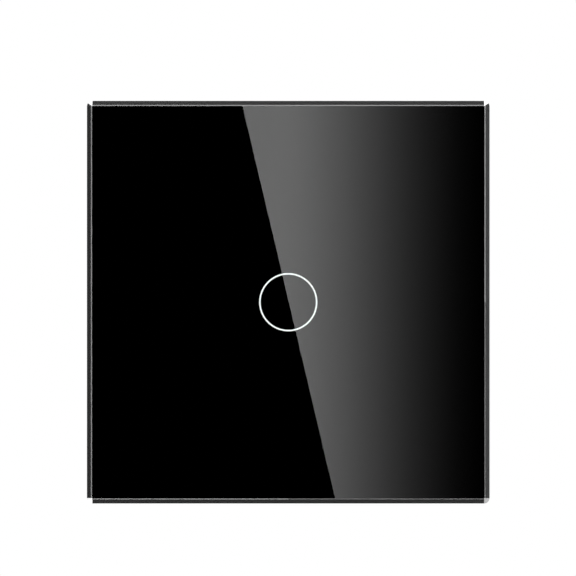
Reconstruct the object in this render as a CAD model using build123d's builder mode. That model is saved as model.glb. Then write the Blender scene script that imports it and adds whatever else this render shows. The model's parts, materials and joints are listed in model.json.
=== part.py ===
import os
from math import cos, hypot, pi, sin, sqrt

from build123d import *

os.makedirs("parts", exist_ok=True)

# Frame of the model
# The wall surface is the plane Y = 0, X runs across, Z runs up and the glass faces -Y.
# The origin lies midway between the wall-box screws. A depth is a Y value.
# Everything in front of the wall has a negative depth.

# General clearances
overrun = 1.0
thread_clearance = 0.05
lead_clearance = 0.15
seat_gap = 0.1

# Wall-box screws, which fix the whole layout
box_screw_distance = 60.0
box_screw_radius = 1.9
box_screw_travel = 4.0
box_screw_head_radius = 4.0

# Steel mounting plate
plate_thickness = 1.2
plate_corner_radius = 5.0
plate_edge = 1.6
plate_lip_height = 2.2
plate_lip_length = 44.0
plate_bend_radius = 0.5
plate_relief_width = 1.0
plate_relief_depth = 2.0
plate_opening_gap = 0.4

# Panel frame bonded to the glass
tape_thickness = 0.4
tape_inset = 0.8
plate_rim_gap = 2.2
frame_corner_radius = 2.4
frame_draft = 1.0
frame_wall = 1.6
frame_web = 1.6
frame_wall_gap = 0.3
frame_opening_gap = 0.6
gusset_thickness = 1.0
gusset_height = 2.6
gusset_spacing = 17.0
gusset_plate_gap = 0.4
gusset_count = 3
pry_slot_width = 10.0
pry_slot_height = 1.8

# Glass panel
panel_overhang = 0.7
glass_thickness = 4.0
glass_corner_radius = 1.1
glass_bevel = 0.88
glass_arris = 0.15
glass_rear_arris = 0.25

# Printed ring and the ink behind the glass
ring_outer_radius = 5.8
ring_line_width = 0.3
print_thickness = 0.1
print_inset = 0.3

# Snap posts on the frame and the spring clips that hold them
post_radius = 2.2
post_waist_radius = 1.55
post_root = 0.25
post_head_length = 0.7
post_cone = 0.45
post_tip_radius = 1.3
post_tip_gap = 0.4
clip_thickness = 0.35
clip_width = 4.0
clip_base_length = 9.0
clip_head_gap = 0.2
clip_nip_rise = 0.65
clip_mouth_flare = 0.5
clip_web_gap = 0.35
clip_flange_gap = 0.25
clip_foot_bend = 0.3
clip_nip_bend = 0.45
rivet_radius = 0.8
rivet_head_radius = 1.4
rivet_head_height = 0.5
rivet_inset = 1.9

# Rear housing
notch_wall = 0.5
housing_corner_cut = 7.5
housing_wall = 1.6
housing_floor = 1.6
housing_edge_round = 1.0
flange_reach = 4.0
flange_corner_radius = 5.0
flange_thickness = 1.6
vent_count = 5
vent_width = 1.4
vent_length = 11.0
vent_pitch = 3.2
vent_drop = 12.5
access_collar_wall = 1.0
access_collar_height = 0.6
access_hole_radius = 2.7
gauge_length = 9.0
gauge_width = 1.4
gauge_depth = 0.5
gauge_drop = 9.0
port_funnel = 0.6
board_rib_width = 3.0
board_rib_depth = 1.7
side_rib_z = 12.0
bottom_rib_x = 10.5
boss_radius = 2.6
boss_inset = 2.9
boss_part_gap = 1.3
guide_rib_width = 1.6
guide_rib_height = 0.4
guide_rib_spacing = 9.0
guide_rib_count = 3
guide_rib_inset = 2.0

# Front cover
cover_height = 3.6
cover_skin = 1.2
cover_wall = 1.5
cover_edge_chamfer = 0.3
cover_panel_gap = 0.3
cover_screw_margin = 3.75
cover_screw_radius = 1.25
cover_screw_hole_radius = 1.45
cover_screw_head_radius = 2.4
cover_screw_head_height = 1.3
cover_screw_sink = 0.3
cover_boss_radius = 3.2
cover_rib_width = 0.9
cover_rib_height = 1.2
cross_width = 0.6
cross_length = 2.6
cross_depth = 0.8
peg_radius = 1.5
peg_tip_radius = 0.8
peg_head_height = 0.4
peg_spacing = 32.6
light_slot_gap = 0.15

# Touch board and what stands on it
touch_board_drop = 1.8
touch_board_thickness = 1.2
board_clearance = 0.4
board_gap = 3.4
cap_ring_margin = 0.9
cap_wall = 1.6
cap_front = 1.0
cap_flange = 1.1
cap_flange_height = 1.0
cap_led_gap = 0.3
led_count = 4
led_length = 2.8
led_width = 1.9
led_height = 0.9
led_lens_radius = 0.7
led_lens_height = 0.15
pad_led_gap = 0.75
pad_thickness = 0.1
spring_pad_margin = 0.95
spring_wire_radius = 0.25
spring_turns = 3
spring_end_gap = 0.1
chip_width = 3.9
chip_length = 5.0
chip_height = 1.2
chip_stand_off = 0.1
chip_chamfer = 0.2
chip_pin_count = 4
chip_pin_pitch = 1.27
chip_pin_width = 0.4
chip_pin_thickness = 0.2
chip_pin_reach = 1.0
chip_x = 12.0
chip_z = 8.0
resistor_length = 2.0
resistor_width = 1.25
resistor_height = 0.5
resistor_cap = 0.35
resistor_cap_proud = 0.05
resistor_pitch = 3.0
resistor_count = 5
resistor_x = -12.0
resistor_z = 3.0

# Header between the two boards
header_pin_count = 5
header_pitch = 2.54
header_pin_side = 0.64
header_tail = 0.9
header_strip_width = 2.4
header_inset = 2.7
header_board_gap = 0.2

# Power board
power_board_thickness = 1.6
board_screw_radius = 1.1
board_screw_length = 7.0
board_screw_head_radius = 1.9
board_screw_head_height = 1.2
board_screw_hole_radius = 1.3
part_gap = 2.0
part_stand_off = 0.2
lead_radius = 0.35
lead_bend = 0.7
lead_tail = 1.1

# Screw terminals
terminal_count = 3
terminal_pitch = 9.0
block_end_wall = 0.5
block_back_wall = 1.1
block_port_wall = 1.8
block_roof = 1.0
block_edge_gap = 0.1
block_floor_gap = 0.2
block_round = 0.4
cell_wall = 1.6
cage_clearance = 0.2
cage_wall = 1.0
cage_floor = 1.2
cage_roof = 1.8
cage_length = 6.0
cage_board_gap = 0.4
cage_round = 0.5
wire_space = 4.4
bar_thickness = 1.0
bar_side_gap = 0.3
bar_bend_radius = 0.8
bar_pin_width = 1.2
bar_gap = 0.2
cage_end_gap = 0.3
screw_radius = 1.75
screw_tip_gap = 0.05
screw_head_radius = 2.8
screw_head_height = 2.0
screw_head_gap = 0.3
screw_head_chamfer = 0.3
screw_roof_gap = 0.2
screw_slot_width = 0.9
screw_slot_depth = 1.1
screw_cross_length = 3.6
roof_hole_radius = 2.5

# Relay, sized from its coil outwards
relay_cover_wall = 0.8
relay_edge_gap = 1.1
relay_base_height = 1.6
relay_corner_radius = 0.7
relay_tab_width = 1.0
relay_top_gap = 0.2
yoke_thickness = 1.2
yoke_pin_gap = 0.1
yoke_inset = 0.5
yoke_foot_gap = 0.1
yoke_toe = 1.5
yoke_edge_round = 0.3
coil_yoke_gap = 0.2
coil_cover_gap = 1.6
core_radius = 2.0
pole_radius = 3.2
pole_height = 0.7
bobbin_side = 10.8
bobbin_flange = 0.8
bobbin_wall = 0.7
bobbin_height = 6.8
coil_pin_inset = 0.45
winding_inset = 0.4
armature_thickness = 1.0
armature_gap = 0.6
armature_pivot_gap = 0.1
armature_overhang = 0.2
blade_thickness = 0.3
blade_width = 5.0
blade_overlap = 4.0
blade_edge = 0.3
contact_coil_gap = 1.6
contact_cover_gap = 0.7
contact_radius = 1.1
contact_proud = 0.6
contact_gap = 0.8
contact_rest_gap = 0.1
contact_arm_thickness = 0.4
contact_arm_width = 3.6
contact_arm_setback = 1.1

# Other parts on the power board
bulk_radius = 4.2
bulk_height = 12.5
bulk_round = 0.5
bulk_groove_depth = 0.3
bulk_groove_rise = 1.8
bulk_groove_width = 1.0
bulk_lead_pitch = 3.5
choke_radius = 4.0
choke_height = 8.6
choke_flange = 1.2
choke_core_radius = 2.2
choke_winding_inset = 0.5
choke_lead_pitch = 4.4
film_length = 13.0
film_thickness = 5.2
film_height = 10.5
film_round = 0.6
film_lead_pitch = 10.0
varistor_radius = 4.0
varistor_thickness = 3.4
varistor_round = 1.0
varistor_lift = 1.0
varistor_lead_pitch = 5.0
varistor_neck_radius = 0.6
varistor_neck_gap = 0.5
fuse_radius = 1.5
fuse_cap_radius = 1.8
fuse_length = 7.0
fuse_cap_length = 1.4
fuse_lead_reach = 1.0
fuse_lift = 0.5
fuse_boss_gap = 0.8
bridge_width = 5.0
bridge_length = 6.4
bridge_height = 2.5
bridge_pin_count = 2
bridge_pin_pitch = 4.0
bridge_pin_width = 0.9
bridge_pin_thickness = 0.25
bridge_pin_reach = 1.2
chip_gap = 0.8

# Sizes that follow from the wall-box screws, from the middle outwards
screw_slot_reach = box_screw_radius + box_screw_travel / 2
head_reach = box_screw_head_radius + box_screw_travel / 2
housing_side = box_screw_distance - 2 * (head_reach + notch_wall)
flange_side = housing_side + 2 * flange_reach
plate_side = box_screw_distance + 2 * (screw_slot_reach + plate_edge)
rim_inner_side = plate_side + 2 * plate_rim_gap
frame_side = rim_inner_side + 2 * frame_wall
frame_opening = flange_side + 2 * frame_opening_gap
panel_side = frame_side + 2 * panel_overhang
gusset_reach = plate_rim_gap - gusset_plate_gap
cover_screw_spacing = housing_side - housing_corner_cut + hypot(cover_screw_margin, cover_screw_margin)
clip_half = post_radius + clip_head_gap + clip_thickness
post_spacing = flange_side + 2 * (clip_half + clip_flange_gap)

# Sizes that follow from the ring, from the print down to the board
cap_outer_radius = ring_outer_radius + cap_ring_margin
cap_inner_radius = cap_outer_radius - cap_wall
led_circle_radius = cap_outer_radius - cap_wall / 2
pad_radius = led_circle_radius - led_width / 2 - pad_led_gap
spring_coil_radius = pad_radius - spring_pad_margin - spring_wire_radius

# Sizes of the relay, from its coil outwards
hinge_reach = relay_cover_wall + yoke_inset + yoke_thickness / 2
coil_reach = yoke_thickness / 2 + coil_yoke_gap + bobbin_side / 2
contact_reach = coil_reach + bobbin_side / 2 + contact_coil_gap
contact_stack = 2 * contact_arm_setback + contact_arm_thickness + contact_cover_gap
relay_length = hinge_reach + contact_reach + contact_stack + relay_cover_wall
relay_width = bobbin_side + 2 * (coil_cover_gap + relay_cover_wall)
winding_radius = bobbin_side / 2 - winding_inset
coil_pin_reach = bobbin_side / 2 - coil_pin_inset
yoke_width = 2 * (coil_pin_reach - lead_radius - yoke_pin_gap)
armature_reach = coil_reach + pole_radius + armature_overhang

# Depths of the stack, from the room into the wall
plate_front = -plate_thickness
flange_front = plate_front - flange_thickness
cover_front = flange_front - cover_height
cover_skin_back = cover_front + cover_skin
print_back = cover_front - cover_panel_gap
glass_back = print_back - print_thickness
web_front = print_back + tape_thickness
web_back = web_front + frame_web
frame_back = -frame_wall_gap
frame_depth = frame_back - web_front
touch_board_front = flange_front + touch_board_drop
touch_board_back = touch_board_front + touch_board_thickness
power_board_front = touch_board_back + board_gap
power_board_back = power_board_front + power_board_thickness
part_seat = power_board_back + part_stand_off
lead_end = power_board_front - lead_tail

cage_front = power_board_back + cage_board_gap
cage_floor_top = cage_front + cage_floor
bar_front = cage_floor_top + wire_space
bar_back = bar_front + bar_thickness
cage_roof_front = bar_back + bar_gap
cage_back = cage_roof_front + cage_roof
cage_travel = wire_space - cage_end_gap
head_front = cage_back + cage_travel + screw_head_gap
head_back = head_front + screw_head_height
block_roof_front = head_back + screw_roof_gap
block_back = block_roof_front + block_roof
floor_front = block_back + block_floor_gap
housing_back = floor_front + housing_floor
wire_depth = (cage_floor_top + bar_front) / 2

# Places on the power board, seen from the front
board_inset = housing_wall + board_clearance
board_half = housing_side / 2 - board_inset
wall_half = housing_side / 2 - housing_wall
cage_width = terminal_pitch - cell_wall - 2 * cage_clearance
port_width = cage_width - 2 * cage_wall
cell_length = cage_length + bar_thickness + cage_end_gap + 2 * cage_clearance
block_width = terminal_count * terminal_pitch + 2 * block_end_wall
block_top = board_half - block_edge_gap
cell_top = block_top - block_port_wall
cell_bottom = cell_top - cell_length
block_bottom = cell_bottom - block_back_wall
cage_z = cell_top - cage_clearance - cage_length / 2
bar_top = cell_top - cage_clearance
bar_bottom = cell_bottom + cage_clearance
terminal_xs = [(i - (terminal_count - 1) / 2) * terminal_pitch for i in range(terminal_count)]
parts_top = block_bottom - part_gap
relay_left = -board_half + relay_edge_gap
relay_right = relay_left + relay_length
relay_x = relay_left + relay_length / 2
relay_z = parts_top - relay_width / 2
relay_bottom = parts_top - relay_width
bulk_x = relay_right + part_gap + bulk_radius
bulk_z = parts_top - bulk_radius
choke_x = bulk_x + bulk_radius + part_gap + choke_radius
choke_z = parts_top - choke_radius
varistor_x = relay_right + part_gap + varistor_thickness / 2
varistor_z = bulk_z - bulk_radius - part_gap - varistor_radius
film_x = varistor_x + varistor_thickness / 2 + part_gap + film_length / 2
film_z = choke_z - choke_radius - part_gap - film_thickness / 2
boss_x = board_half - boss_inset
boss_z = relay_bottom - boss_part_gap - boss_radius
fuse_lead_span = fuse_length + 2 * fuse_lead_reach
fuse_x = varistor_x + varistor_thickness / 2 + part_gap + fuse_lead_span / 2
fuse_z = boss_z - boss_radius - fuse_boss_gap - fuse_cap_radius
fuse_depth = power_board_back + fuse_lift + fuse_cap_radius
varistor_depth = power_board_back + varistor_lift + varistor_radius
varistor_neck_end = power_board_back + varistor_neck_gap
bridge_x = -boss_x + boss_radius + chip_gap + bridge_pin_reach + bridge_width / 2
bridge_z = relay_bottom - part_gap - bridge_length / 2
supply_chip_x = bridge_x + (bridge_width + chip_width) / 2 + bridge_pin_reach + chip_gap + chip_pin_reach
header_z = -(board_half - header_inset)
header_xs = [(i - (header_pin_count - 1) / 2) * header_pitch for i in range(header_pin_count)]

# Places of the relay's mechanism
hinge_x = relay_left + hinge_reach
coil_x = hinge_x + coil_reach
contact_x = hinge_x + contact_reach
relay_base_back = part_seat + relay_base_height
yoke_front = relay_base_back + yoke_foot_gap
bobbin_front = yoke_front + yoke_thickness
bobbin_back = bobbin_front + bobbin_height
pole_back = bobbin_back + pole_height
armature_front = pole_back + armature_gap
blade_front = armature_front + armature_thickness
blade_back = blade_front + blade_thickness
hub_radius = core_radius + thread_clearance + bobbin_wall
near_arm_x = contact_x + contact_arm_setback
far_arm_x = near_arm_x + contact_arm_setback + contact_arm_thickness
near_arm_front = blade_front - contact_proud - contact_gap - contact_proud - contact_arm_thickness
far_arm_front = blade_back + contact_proud + contact_rest_gap + contact_proud
relay_back = far_arm_front + contact_arm_thickness + relay_top_gap + relay_cover_wall
coil_pin_places = [(coil_x, relay_z + side * coil_pin_reach) for side in (-1, 1)]

# Places of the snap posts and of what else is in fours
corners = [(x, z) for x in (-1, 1) for z in (-1, 1)]
post_places = [(x * post_spacing / 2, z * post_spacing / 2) for x, z in corners]
rivet_drop = clip_base_length - clip_width / 2 - rivet_inset
rivet_places = [(x * post_spacing / 2, z * (post_spacing / 2 - rivet_drop)) for x, z in corners]


def across(depth):
    """Sketch plane parallel to the wall. An extrusion by a positive amount runs to the room."""
    return Plane.XZ.offset(-depth)


def level(z):
    """Level sketch plane, on which a point is its X and its depth."""
    return Plane.XY.offset(z)


def pair(x, z, pitch):
    """Two places side by side, a pitch apart."""
    return [(x - pitch / 2, z), (x + pitch / 2, z)]


def turned(x, z, outline):
    """Solid turned about a line square to the wall. The outline's points are radius and depth."""
    with BuildPart() as blank:
        with BuildSketch(Plane(origin=(x, 0, z))):
            with BuildLine():
                Polyline(*outline, close=True)
            make_face()
        revolve(axis=Axis((x, 0, z), (0, 1, 0)))
    return blank.part


def cut_square(side, cut, mode):
    """Square with its four corners cut off at 45 degrees."""
    half = side / 2
    rest = half - cut
    Polygon(
        (half, rest), (rest, half), (-rest, half), (-half, rest),
        (-half, -rest), (-rest, -half), (rest, -half), (half, -rest),
        align=None, mode=mode,
    )


def housing_outline(inset, mode=Mode.ADD):
    """The housing's cut-corner square, drawn a distance inside its outer wall."""
    cut_square(housing_side - 2 * inset, housing_corner_cut - inset * (2 - sqrt(2)), mode)


def front_outline(inset):
    """The outline of flange and cover, with room for the heads of the wall-box screws."""
    side = flange_side - 2 * inset
    head = 2 * (box_screw_head_radius + inset)
    RectangleRounded(side, side, flange_corner_radius - inset)
    with PolarLocations(box_screw_distance / 2, 4):
        SlotOverall(head + box_screw_travel, head, mode=Mode.SUBTRACT)


def keep(builder, name):
    """Labels a finished piece and writes it as its own file."""
    builder.part.label = name
    export_step(builder.part, f"parts/{name}.step")


# Glass panel: ground edges, a wide front bevel and a fine arris where it meets the face
with BuildPart() as glass_panel:
    with BuildSketch(across(glass_back)):
        RectangleRounded(panel_side, panel_side, glass_corner_radius)
    extrude(amount=glass_thickness)
    chamfer(glass_panel.faces().sort_by(Axis.Y)[0].edges(), length=glass_bevel)
    chamfer(glass_panel.faces().sort_by(Axis.Y)[0].edges(), length=glass_arris)
    chamfer(glass_panel.faces().sort_by(Axis.Y)[-1].edges(), length=glass_rear_arris)
keep(glass_panel, "glass_panel")

# Opaque ink on the back of the glass, left open where the ring shows through
with BuildPart() as back_print:
    with BuildSketch(across(print_back)):
        printed_side = panel_side - 2 * print_inset
        RectangleRounded(printed_side, printed_side, glass_corner_radius - print_inset)
        Circle(ring_outer_radius, mode=Mode.SUBTRACT)
        Circle(ring_outer_radius - ring_line_width)
    extrude(amount=print_thickness)
keep(back_print, "back_print")

# White diffusing ink that fills the ring
with BuildPart() as indicator_ring:
    with BuildSketch(across(print_back)):
        Circle(ring_outer_radius)
        Circle(ring_outer_radius - ring_line_width, mode=Mode.SUBTRACT)
    extrude(amount=print_thickness)
keep(indicator_ring, "indicator_ring")

# Square of double-sided tape between the ink and the frame
with BuildPart() as bonding_tape:
    with BuildSketch(across(web_front)):
        tape_side = frame_side - 2 * tape_inset
        tape_hole = frame_opening + 2 * tape_inset
        RectangleRounded(tape_side, tape_side, frame_corner_radius - tape_inset)
        RectangleRounded(tape_hole, tape_hole, flange_corner_radius, mode=Mode.SUBTRACT)
    extrude(amount=tape_thickness)
keep(bonding_tape, "bonding_tape")

# One side's row of gussets, from the rim down to the web
with BuildPart() as gusset_row:
    rim_half = rim_inner_side / 2
    for place in range(gusset_count):
        gusset_z = (place - (gusset_count - 1) / 2) * gusset_spacing
        with BuildSketch(level(gusset_z)):
            Polygon(
                (rim_half - gusset_reach, web_back),
                (rim_half + frame_wall / 2, web_back),
                (rim_half + frame_wall / 2, web_back + gusset_height),
                align=None,
            )
        extrude(amount=gusset_thickness / 2, both=True)

# Panel frame: drafted rim, flat web under the glass, gussets and four snap posts
post_tip = plate_front - clip_thickness - post_tip_gap
post_head_back = post_tip - post_cone
post_head_front = post_head_back - post_head_length
post_waist_back = post_head_front - post_cone
post_waist_front = web_back + post_root
with BuildPart() as panel_frame:
    with BuildSketch(across(web_front)):
        RectangleRounded(frame_side, frame_side, frame_corner_radius)
    extrude(amount=-frame_depth, taper=frame_draft)
    with BuildSketch(across(web_back)):
        RectangleRounded(rim_inner_side, rim_inner_side, frame_corner_radius - frame_wall / 2)
    extrude(amount=-(frame_depth - frame_web), taper=-frame_draft, mode=Mode.SUBTRACT)
    with BuildSketch(across(web_back)):
        RectangleRounded(frame_opening, frame_opening, flange_corner_radius)
    extrude(amount=frame_web, mode=Mode.SUBTRACT)
    for turn in range(4):
        add(gusset_row.part, rotation=(0, turn * 90, 0))
    with BuildSketch(across(frame_back)):
        with Locations((0, -frame_side / 2)):
            Rectangle(pry_slot_width, 2 * frame_wall + overrun)
    extrude(amount=pry_slot_height, mode=Mode.SUBTRACT)
    for post_x, post_z in post_places:
        add(turned(post_x, post_z, [
            (0, web_back),
            (post_radius, web_back),
            (post_waist_radius, post_waist_front),
            (post_waist_radius, post_waist_back),
            (post_radius, post_head_front),
            (post_radius, post_head_back),
            (post_tip_radius, post_tip),
            (0, post_tip),
        ]))
keep(panel_frame, "panel_frame")

# Mounting plate: stamped sheet with bent lips, slots for the wall-box screws and tapped corner holes
with BuildPart() as mounting_plate:
    with BuildSketch(across(0)):
        RectangleRounded(plate_side, plate_side, plate_corner_radius)
        housing_outline(-plate_opening_gap, Mode.SUBTRACT)
        with PolarLocations(box_screw_distance / 2, 4):
            SlotOverall(2 * screw_slot_reach, 2 * box_screw_radius, mode=Mode.SUBTRACT)
        with GridLocations(cover_screw_spacing, cover_screw_spacing, 2, 2):
            Circle(cover_screw_radius + thread_clearance, mode=Mode.SUBTRACT)
        with Locations(*rivet_places):
            Circle(rivet_radius + thread_clearance, mode=Mode.SUBTRACT)
        with PolarLocations(plate_side / 2, 4):
            with GridLocations(0, plate_lip_length + plate_relief_width, 1, 2):
                Rectangle(2 * plate_relief_depth, plate_relief_width, mode=Mode.SUBTRACT)
    extrude(amount=plate_thickness)
    with BuildSketch(across(plate_front)):
        with PolarLocations((plate_side - plate_thickness) / 2, 4):
            Rectangle(plate_thickness, plate_lip_length)
    extrude(amount=plate_lip_height)
    lip_roots = mounting_plate.edges().filter_by(
        lambda edge: abs(edge.center().Y - plate_front) < thread_clearance
        and abs(edge.length - plate_lip_length) < thread_clearance
    )
    fillet(lip_roots, plate_bend_radius)
    lip_heels = mounting_plate.edges().filter_by(
        lambda edge: abs(edge.center().Y) < thread_clearance
        and abs(edge.length - plate_lip_length) < thread_clearance
    )
    fillet(lip_heels, plate_bend_radius)
keep(mounting_plate, "mounting_plate")

# Snap clips: a bent spring-steel strip round each post, with a tab that is riveted to the plate
clip_head_half = post_radius + clip_head_gap
clip_base_front = plate_front - clip_thickness
clip_nip = post_head_front - clip_nip_rise
clip_mouth = web_back + clip_web_gap
with BuildPart() as snap_clips:
    for post_x, post_z in post_places:
        inward = -1 if post_z > 0 else 1
        with BuildSketch(level(post_z)):
            with BuildLine():
                FilletPolyline(
                    (post_x - post_waist_radius - clip_mouth_flare, clip_mouth),
                    (post_x - post_waist_radius, clip_nip),
                    (post_x - clip_head_half, post_head_front),
                    (post_x - clip_head_half, clip_base_front),
                    (post_x + clip_head_half, clip_base_front),
                    (post_x + clip_head_half, post_head_front),
                    (post_x + post_waist_radius, clip_nip),
                    (post_x + post_waist_radius + clip_mouth_flare, clip_mouth),
                    radius=[clip_nip_bend, *[clip_foot_bend] * 4, clip_nip_bend],
                )
                offset(amount=clip_thickness, side=Side.LEFT)
            make_face()
        extrude(amount=clip_width / 2, both=True)
        with BuildSketch(across(plate_front)):
            with Locations((post_x, post_z + inward * (clip_base_length - clip_width) / 2)):
                Rectangle(2 * (clip_head_half - clip_foot_bend), clip_base_length)
        extrude(amount=clip_thickness)
    with BuildSketch(across(plate_front)):
        with Locations(*rivet_places):
            Circle(rivet_radius + thread_clearance)
    extrude(amount=clip_thickness, mode=Mode.SUBTRACT)
keep(snap_clips, "snap_clips")

# Rivets with turned heads, flush with the rear of the plate
with BuildPart() as clip_rivets:
    for rivet_x, rivet_z in rivet_places:
        add(turned(rivet_x, rivet_z, [
            (0, 0),
            (rivet_radius, 0),
            (rivet_radius, clip_base_front),
            (rivet_head_radius, clip_base_front),
            (rivet_head_radius, clip_base_front - rivet_head_height / 2),
            (rivet_radius, clip_base_front - rivet_head_height),
            (0, clip_base_front - rivet_head_height),
        ]))
keep(clip_rivets, "clip_rivets")

# Rear housing: flanged cup with wire ports, screw access, vents, ribs and board bosses
with BuildPart() as rear_housing:
    with BuildSketch(across(housing_back)):
        housing_outline(0)
    extrude(amount=housing_back - plate_front)
    fillet(rear_housing.faces().sort_by(Axis.Y)[-1].edges(), housing_edge_round)
    with BuildSketch(across(plate_front)):
        front_outline(0)
    extrude(amount=flange_thickness)
    with BuildSketch(across(housing_back - guide_rib_inset)):
        with GridLocations(housing_side, guide_rib_spacing, 2, guide_rib_count):
            Rectangle(2 * guide_rib_height, guide_rib_width)
    extrude(amount=housing_back - 2 * guide_rib_inset)
    with BuildSketch(across(floor_front)):
        housing_outline(housing_wall)
    extrude(amount=floor_front - flange_front, mode=Mode.SUBTRACT)
    with BuildSketch(across(floor_front)):
        rib_centre = wall_half - board_rib_depth / 2
        with Locations((0, side_rib_z)):
            with GridLocations(2 * rib_centre, 0, 2, 1):
                Rectangle(board_rib_depth + housing_wall, board_rib_width)
        with Locations((0, -rib_centre)):
            with GridLocations(2 * bottom_rib_x, 0, 2, 1):
                Rectangle(board_rib_width, board_rib_depth + housing_wall)
        with Locations(*pair(0, boss_z, 2 * boss_x)):
            Circle(boss_radius)
        with Locations(*pair(0, boss_z, boss_x + wall_half)):
            Rectangle(wall_half - boss_x + housing_wall, housing_wall)
    extrude(amount=floor_front - power_board_back)
    with BuildSketch(across(power_board_back)):
        with Locations(*pair(0, boss_z, 2 * boss_x)):
            Circle(board_screw_radius + thread_clearance)
    extrude(amount=-(board_screw_length - power_board_thickness + seat_gap), mode=Mode.SUBTRACT)
    with BuildSketch(across(plate_front)):
        with GridLocations(cover_screw_spacing, cover_screw_spacing, 2, 2):
            Circle(cover_screw_hole_radius)
    extrude(amount=flange_thickness, mode=Mode.SUBTRACT)
    with BuildSketch(across(housing_back + access_collar_height)):
        with Locations(*[(x, cage_z) for x in terminal_xs]):
            Circle(access_hole_radius + access_collar_wall)
    extrude(amount=access_collar_height)
    with BuildSketch(across(housing_back + access_collar_height)):
        with Locations(*[(x, cage_z) for x in terminal_xs]):
            Circle(access_hole_radius)
    extrude(amount=access_collar_height + housing_floor, mode=Mode.SUBTRACT)
    with BuildSketch(across(housing_back)):
        with Locations((0, -vent_drop)):
            with GridLocations(vent_pitch, 0, vent_count, 1):
                SlotOverall(vent_length, vent_width, rotation=90)
    extrude(amount=housing_floor, mode=Mode.SUBTRACT)
    with BuildSketch(across(housing_back)):
        with Locations((0, cage_z - gauge_drop)):
            SlotOverall(gauge_length, gauge_width)
    extrude(amount=gauge_depth, mode=Mode.SUBTRACT)
    with BuildSketch(level(housing_side / 2)):
        with Locations(*[(x, wire_depth) for x in terminal_xs]):
            Rectangle(port_width, wire_space)
    extrude(amount=-(housing_wall + board_clearance / 2), mode=Mode.SUBTRACT)
    with BuildSketch(level(housing_side / 2)):
        with Locations(*[(x, wire_depth) for x in terminal_xs]):
            Rectangle(port_width + 2 * port_funnel, wire_space + 2 * port_funnel)
    extrude(amount=-port_funnel, taper=45, mode=Mode.SUBTRACT)
keep(rear_housing, "rear_housing")

# Front cover: shallow tray with screw bosses, ribs, a round window and four pegs for the touch board
screw_head_front = cover_front + cover_screw_sink
countersink_reach = cover_screw_sink + cover_screw_head_height
with BuildPart() as front_cover:
    with BuildSketch(across(flange_front)):
        front_outline(0)
    extrude(amount=cover_height)
    chamfer(front_cover.faces().sort_by(Axis.Y)[0].edges(), length=cover_edge_chamfer)
    with BuildSketch(across(flange_front)):
        front_outline(cover_wall)
    extrude(amount=cover_height - cover_skin, mode=Mode.SUBTRACT)
    with BuildSketch(across(flange_front)):
        with GridLocations(cover_screw_spacing, cover_screw_spacing, 2, 2):
            Circle(cover_boss_radius)
    extrude(amount=cover_height - cover_skin)
    with BuildSketch(across(cover_skin_back + cover_rib_height)):
        rib_side = peg_spacing + cover_rib_width
        Rectangle(rib_side, rib_side)
        Rectangle(rib_side - 2 * cover_rib_width, rib_side - 2 * cover_rib_width, mode=Mode.SUBTRACT)
    extrude(amount=cover_rib_height)
    with BuildSketch(across(touch_board_front)):
        with GridLocations(peg_spacing, peg_spacing, 2, 2):
            Circle(peg_radius)
    extrude(amount=touch_board_front - cover_skin_back)
    with BuildSketch(across(touch_board_back)):
        with GridLocations(peg_spacing, peg_spacing, 2, 2):
            Circle(peg_tip_radius)
    extrude(amount=touch_board_thickness)
    with BuildSketch(across(touch_board_back)):
        with GridLocations(peg_spacing, peg_spacing, 2, 2):
            Circle(peg_radius)
    extrude(amount=-peg_head_height, taper=45)
    with BuildSketch(across(cover_skin_back)):
        Circle(cap_outer_radius + light_slot_gap)
    extrude(amount=cover_skin, mode=Mode.SUBTRACT)
    for screw_x, screw_z in [(x * cover_screw_spacing / 2, z * cover_screw_spacing / 2) for x, z in corners]:
        add(turned(screw_x, screw_z, [
            (0, cover_front),
            (cover_screw_head_radius + seat_gap, cover_front),
            (cover_screw_head_radius + seat_gap, screw_head_front),
            (cover_screw_hole_radius, cover_front + countersink_reach),
            (cover_screw_hole_radius, flange_front),
            (0, flange_front),
        ]), mode=Mode.SUBTRACT)
keep(front_cover, "front_cover")

# Countersunk screws that clamp cover and flange to the plate
with BuildPart() as cover_screws:
    for screw_x, screw_z in [(x * cover_screw_spacing / 2, z * cover_screw_spacing / 2) for x, z in corners]:
        add(turned(screw_x, screw_z, [
            (0, screw_head_front),
            (cover_screw_head_radius, screw_head_front),
            (cover_screw_radius, screw_head_front + cover_screw_head_height),
            (cover_screw_radius, -seat_gap),
            (0, -seat_gap),
        ]))
    with BuildSketch(across(screw_head_front)):
        with GridLocations(cover_screw_spacing, cover_screw_spacing, 2, 2):
            Rectangle(cross_length, cross_width)
            Rectangle(cross_width, cross_length)
    extrude(amount=-cross_depth, mode=Mode.SUBTRACT)
keep(cover_screws, "cover_screws")

# Diffuser cap: its wall carries light from the diodes to the ring
led_top = touch_board_front - led_height - led_lens_height
with BuildPart() as diffuser_cap:
    add(turned(0, 0, [
        (0, cover_front),
        (cap_outer_radius, cover_front),
        (cap_outer_radius, cover_skin_back),
        (cap_outer_radius + cap_flange, cover_skin_back),
        (cap_outer_radius + cap_flange, cover_skin_back + cap_flange_height),
        (cap_outer_radius, cover_skin_back + cap_flange_height),
        (cap_outer_radius, led_top - cap_led_gap),
        (cap_inner_radius, led_top - cap_led_gap),
        (cap_inner_radius, cover_front + cap_front),
        (0, cover_front + cap_front),
    ]))
keep(diffuser_cap, "diffuser_cap")

# Copper pad under the touch spring
with BuildPart() as spring_pad:
    with BuildSketch(across(touch_board_front)):
        Circle(pad_radius)
    extrude(amount=pad_thickness)
keep(spring_pad, "spring_pad")

# Touch spring: an open coil between the pad and the cap's front
spring_start = touch_board_front - pad_thickness - spring_end_gap - spring_wire_radius
spring_stop = cover_front + cap_front + spring_end_gap + spring_wire_radius
spring_pitch = (spring_start - spring_stop) / spring_turns


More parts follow.
